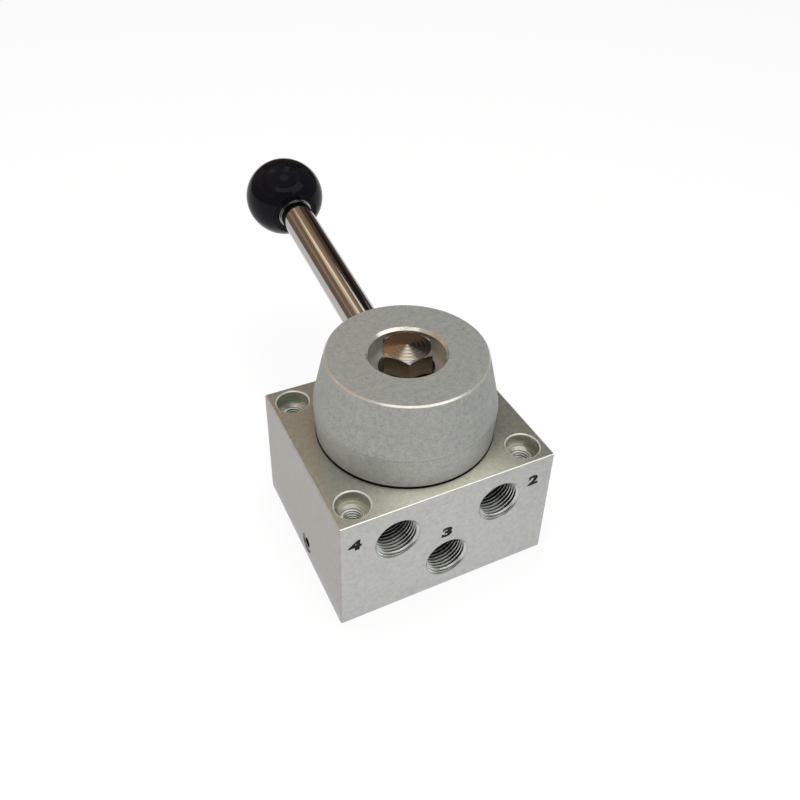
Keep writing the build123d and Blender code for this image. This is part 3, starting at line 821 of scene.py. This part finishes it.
dressing = {
    "valve_body": "blockMetal",
    "drain_plug": "brightNickel",
    "seat_plate": "lappedDisc",
    "seat_dowels": "groundSteel",
    "seat_seals": "sealRubber",
    "bonnet": "machinedMetal",
    "bonnet_seal": "sealRubber",
    "bonnet_screws": "groundSteel",
    "spindle_bush": "turnedBronze",
    "spindle_seal": "sealRubber",
    "thrust_washer": "slidePlastic",
    "valve_disc": "lappedDisc",
    "disc_spring": "springSteel",
    "drive_pins": "groundSteel",
    "spindle": "groundSteel",
    "cap": "castCap",
    "stop_pin": "groundSteel",
    "detent_ball": "groundSteel",
    "detent_spring": "springSteel",
    "bolt_washer": "groundSteel",
    "centre_bolt": "turnedHexagon",
    "lever_rod": "chromePlate",
    "knob_insert": "brightNickel",
    "ball_knob": "knobPlastic",
}
for nodeName, finishName in dressing.items():
    nodeMesh = nodes[nodeName].data
    nodeMesh.materials.clear()
    nodeMesh.materials.append(finishes[finishName])
print("nodes dressed:", len(dressing))

# Threads of the ports and mounting holes. Lengths in mm, depths below the thread's mouth.

threadShape = {
    "inWall": 0.03,                                    # how far the roots lie in the hole's wall
    "rootShare": 0.96,                                 # of the pitch, how much the ridge's foot takes up
    "crestRounding": 0.45,                             # of the crest's width
    "crestSegments": 3,
    "coneReach": 2.5,                                  # how far the countersink's cutter stands out
    "coneSides": 96,
    "tail": 6.0,                                       # length of the cutter at the hole's far end
    "tailSides": 48,
    "tailPlay": 2.0,                                   # how much wider than the thread it is
    "overlap": 0.02,                                   # how far it reaches into the thread
    "sharpAngle": 50,
}

portThread = {
    "name": "portThread",
    "hole": mounts["port_1"]["dims"]["r_mm"],
    "depth": 0.88,
    "pitch": 1.337,
    "crest": 0.16,
    "length": 12.6,
    "steps": 72,
    "mouthCone": 8.83,                                 # radius of the countersink at the mouth
    "darkRoot": 0.04,                                  # share of the depth that is painted dark at the root, as shade
    "wornAndHighlit": 1.0,                                       # how far down the flanks they are bright, as wear and a painted highlight
    "darkFrom": (4.2, 9.0),                            # depths where the flanks begin and end to be painted dark, as shade
    "darkSide": (0.1, 0.7),                            # the same across the hole, as shares of its radius
    "phase": 0.83,                                     # share of a pitch, moves the run-in round
}

mountThread = {
    "name": "mountThread",
    "hole": holePattern["hole_r_mm"],
    "depth": 0.69,
    "pitch": 1.25,
    "crest": 0.22,
    "recess": 4.9,                                     # depth of the screw head's recess
    "leadCone": 0.9,
    "steps": 40,
    "mouthCone": 4.0,
    "darkRoot": 0.4,
    "wornAndHighlit": 2.6,
    "darkFrom": (9.0, 16.0),
    "darkSide": (1.5, 2.0),
    "phase": 0.0,
}
mountThread["length"] = (blockHigh.z - blockLow.z) / mm - mountThread["recess"] - mountThread["leadCone"]
for thread in (portThread, mountThread):
    thread["outer"] = thread["hole"] + threadShape["inWall"]

# painted shade on the crests and the countersink
threadShading = {
    "conePlay": 0.02,                                  # mm, what still counts as on the countersink
    "coneShade": 0.14,                                 # painted shade: what the countersink loses on its dark side
    "deepShade": 0.15,                                 # painted shade: what crests lose deep in the hole
}

threadLook = {
    "valleyColor": (0.57, 0.64, 0.57, 1),
    # bright crests and countersink: worn metal with a painted highlight
    "crestColor": (0.92, 0.92, 0.87, 1),
    "crestFrom": (0.7, 1.0),
    # painted shade on the flanks
    "paintedShadeColor": (0.02, 0.022, 0.02, 1),
    "metallic": 0.5,
    "roughness": 0.22,
    "patchScale": 900.0,
    "grainScale": 4000.0,
    "contrast": 0.25,
}


def threadFinish():
    look = threadLook
    material, tree, shader = newFinish("tappedMetal", look["metallic"], look["roughness"])
    cloud = useMottle(tree, {**look, "color": look["valleyColor"]})
    crest = addNode(tree, "ShaderNodeAttribute", {"attribute_name": "crest"})
    # worn crests with a painted highlight
    wornAndHighlit = ramp(tree, crest.outputs["Fac"], *look["crestFrom"])
    # painted shade on the flanks
    paintedShade = addNode(tree, "ShaderNodeAttribute", {"attribute_name": "paintedShade"})
    valley = colorMix(tree, paintedShade.outputs["Fac"], cloud.outputs["Color"], look["paintedShadeColor"])
    tree.links.new(colorMix(tree, wornAndHighlit, valley, look["crestColor"]), shader.inputs["Base Color"])
    return material


# In edit mode, selects the points that pass the test and nothing else
def selectPoints(obj, test):
    bpy.ops.mesh.select_mode(type='VERT')
    bpy.ops.mesh.select_all(action='DESELECT')
    bpy.ops.object.mode_set(mode='OBJECT')
    for v in obj.data.vertices:
        v.select = test(v.co)
    bpy.ops.object.mode_set(mode='EDIT')


def cutWith(obj, cutter):
    modifier = obj.modifiers.new("cut", 'BOOLEAN')
    modifier.operation = 'DIFFERENCE'
    modifier.object = cutter
    modifier.solver = 'EXACT'
    bpy.context.view_layer.objects.active = obj
    bpy.ops.object.modifier_apply(modifier="cut")
    bpy.data.objects.remove(cutter)


# Applies the place, tidies the mesh, shades it and gives it its finish
def finishMesh(obj, material, sharpAngle):
    bpy.ops.object.select_all(action='DESELECT')
    obj.select_set(True)
    bpy.context.view_layer.objects.active = obj
    bpy.ops.object.transform_apply(location=True, rotation=True, scale=True)
    bpy.ops.object.mode_set(mode='EDIT')
    bpy.ops.mesh.select_all(action='SELECT')
    bpy.ops.mesh.remove_doubles(threshold=1e-7)
    bpy.ops.mesh.normals_make_consistent(inside=False)
    bpy.ops.object.mode_set(mode='OBJECT')
    bpy.ops.object.shade_smooth_by_angle(angle=radians(sharpAngle))
    obj.data.materials.clear()
    obj.data.materials.append(material)
    bpy.ops.object.select_all(action='DESELECT')


# One thread's ridge, wound round Z, with its mouth at the origin
def cutThread(size):
    shape = threadShape
    inner = size["outer"] - size["depth"]
    middle = (size["outer"] + inner) / 2
    root = size["pitch"] * shape["rootShare"]
    low = place((middle, 0, -size["length"] - size["pitch"] * (0.5 + size["phase"])))
    bpy.ops.mesh.primitive_plane_add(size=1, rotation=(pi / 2, 0, 0), location=low)
    ridge = bpy.context.object
    ridge.name = size["name"]
    ridge.scale = (size["depth"] * mm, root * mm, 1)
    bpy.ops.object.transform_apply(location=True, rotation=True, scale=True)
    bpy.ops.object.mode_set(mode='EDIT')
    selectPoints(ridge, lambda co: co.x < middle * mm)
    bpy.ops.transform.resize(value=(1, 1, size["crest"] / root), center_override=low)
    bpy.ops.mesh.bevel(
        offset=size["crest"] * shape["crestRounding"] * mm,
        segments=shape["crestSegments"], affect='VERTICES',
    )
    bpy.ops.object.mode_set(mode='OBJECT')
    winding = ridge.modifiers.new("winding", 'SCREW')
    winding.screw_offset = size["pitch"] * mm
    winding.iterations = int(size["length"] / size["pitch"]) + 2  # past both ends
    winding.steps = size["steps"]
    winding.render_steps = size["steps"]
    winding.use_merge_vertices = False
    bpy.ops.object.modifier_apply(modifier="winding")
    bpy.ops.object.mode_set(mode='EDIT')
    bpy.ops.mesh.select_all(action='DESELECT')
    bpy.ops.mesh.select_mode(type='VERT')
    bpy.ops.mesh.select_non_manifold(extend=False)
    bpy.ops.mesh.edge_face_add()
    bpy.ops.mesh.select_all(action='SELECT')
    bpy.ops.mesh.normals_make_consistent(inside=False)
    bpy.ops.object.mode_set(mode='OBJECT')

    # the countersink at the mouth and the flat end are cut
    height = size["mouthCone"] + shape["coneReach"]
    bpy.ops.mesh.primitive_cone_add(
        vertices=shape["coneSides"], radius1=0, radius2=height * mm, depth=height * mm,
        location=place((0, 0, shape["coneReach"] - height / 2)),
    )
    cutWith(ridge, bpy.context.object)
    bpy.ops.mesh.primitive_cylinder_add(
        vertices=shape["tailSides"], radius=(size["outer"] + shape["tailPlay"]) * mm,
        depth=shape["tail"] * mm,
        location=place((0, 0, shape["overlap"] - size["length"] - shape["tail"] / 2)),
    )
    cutWith(ridge, bpy.context.object)
    markCrests(ridge, size)
    return ridge


def smoothStep(value, start, end):
    share = min(max((value - start) / (end - start), 0.0), 1.0)
    return share * share * (3 - 2 * share)


# crest is 1 on the crests and on the mouth's countersink and 0 at the roots: worn metal and a painted
# highlight, less painted shade deep in the hole and on the countersink's side away from the window.
# The second attribute, painted shade, is 1 where the flanks are painted dark: deep in the hole, at the
# roots and on the side away from the window.
def markCrests(ridge, size):
    shading = threadShading
    crest = ridge.data.attributes.new("crest", 'FLOAT', 'POINT')
    paintedShade = ridge.data.attributes.new("paintedShade", 'FLOAT', 'POINT')
    for v in ridge.data.vertices:
        radius, depth = hypot(v.co.x, v.co.y) / mm, -v.co.z / mm
        inward = (size["outer"] - radius) / size["depth"]
        side = smoothStep(v.co.x / size["outer"] / mm, *size["darkSide"])
        deep = smoothStep(depth, *size["darkFrom"])
        root = 1 - smoothStep(inward, 0.0, size["darkRoot"])
        if radius + depth < size["mouthCone"] + shading["conePlay"]:
            crest.data[v.index].value = 1 - shading["coneShade"] * side
        else:
            crest.data[v.index].value = min(inward * size["wornAndHighlit"], 1.0) * (1 - shading["deepShade"] * deep)
        paintedShade.data[v.index].value = max(side, deep, root)


def copyOf(obj, name):
    copy = obj.copy()
    copy.data = obj.data.copy()
    copy.name = name
    bpy.context.scene.collection.objects.link(copy)
    return copy


def setThread(thread, material):
    finishMesh(thread, material, threadShape["sharpAngle"])
    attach(thread, "body")


# A port's mouth is where its axis leaves the block
def portMouth(mount):
    axis = Vector(mount["axis"])
    spot = Vector(mount["pos_m"])
    reach = max(blockLow.dot(axis), blockHigh.dot(axis))
    return spot + axis * (reach - spot.dot(axis)), axis


def addThreads():
    tappedMetal = threadFinish()
    portRidge = cutThread(portThread)
    for number in "1234":
        mouth, axis = portMouth(mounts["port_" + number])
        thread = copyOf(portRidge, "portThread" + number)
        thread.rotation_euler = (radians(-90 * axis.y), 0, 0)
        thread.location = mouth
        setThread(thread, tappedMetal)
    mountRidge = cutThread(mountThread)
    for side, x in (("Left", -0.5), ("Right", 0.5)):
        for end, y in (("Front", -0.5), ("Rear", 0.5)):
            thread = copyOf(mountRidge, "mountThread" + end + side)
            thread.location = place(
                (x * holePattern["spacing_x_mm"], y * holePattern["spacing_y_mm"], mountThread["length"])
            )
            setThread(thread, tappedMetal)
    bpy.data.objects.remove(portRidge)
    bpy.data.objects.remove(mountRidge)


addThreads()
print("threads cut")

# Port numbers printed on the front face. middle is x and z of a digit, width its width, all in mm.

digits = {
    "height": 4.8,
    "bold": 0.055,                      # share of the letter size that is added all round a stroke
    "slant": 0.05,
    "thick": 0.03,
    "sharpAngle": 30,
    "marks": {
        "mark4": {"letter": "4", "middle": (-36.84, 39.8), "width": 5.0},
        "mark3": {"letter": "3", "middle": (-0.98, 29.07), "width": 4.3},
        "mark2": {"letter": "2", "middle": (34.28, 40.07), "width": 4.5},
    },
}


def addMarks():
    for name, mark in digits["marks"].items():
        bpy.ops.object.text_add(location=(0, 0, 0))
        letter = bpy.context.object
        letter.name = name
        letter.data.body = mark["letter"]
        letter.data.offset = digits["bold"]
        letter.data.shear = digits["slant"]
        bpy.ops.object.convert(target='MESH')
        letter = bpy.context.object
        xs = [v.co.x for v in letter.data.vertices]
        ys = [v.co.y for v in letter.data.vertices]
        wide, high = max(xs) - min(xs), max(ys) - min(ys)
        for v in letter.data.vertices:
            v.co.x = (v.co.x - min(xs) - wide / 2) * mark["width"] / wide * mm
            v.co.y = (v.co.y - min(ys) - high / 2) * digits["height"] / high * mm
        sheet = letter.modifiers.new("sheet", 'SOLIDIFY')
        sheet.thickness = digits["thick"] * mm
        sheet.offset = 0
        bpy.ops.object.modifier_apply(modifier="sheet")
        letter.rotation_euler = (pi / 2, 0, 0)
        letter.location = (mark["middle"][0] * mm, blockLow.y, mark["middle"][1] * mm)
        finishMesh(letter, finishes["markInk"], digits["sharpAngle"])
        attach(letter, "body")


addMarks()
print("marks set")
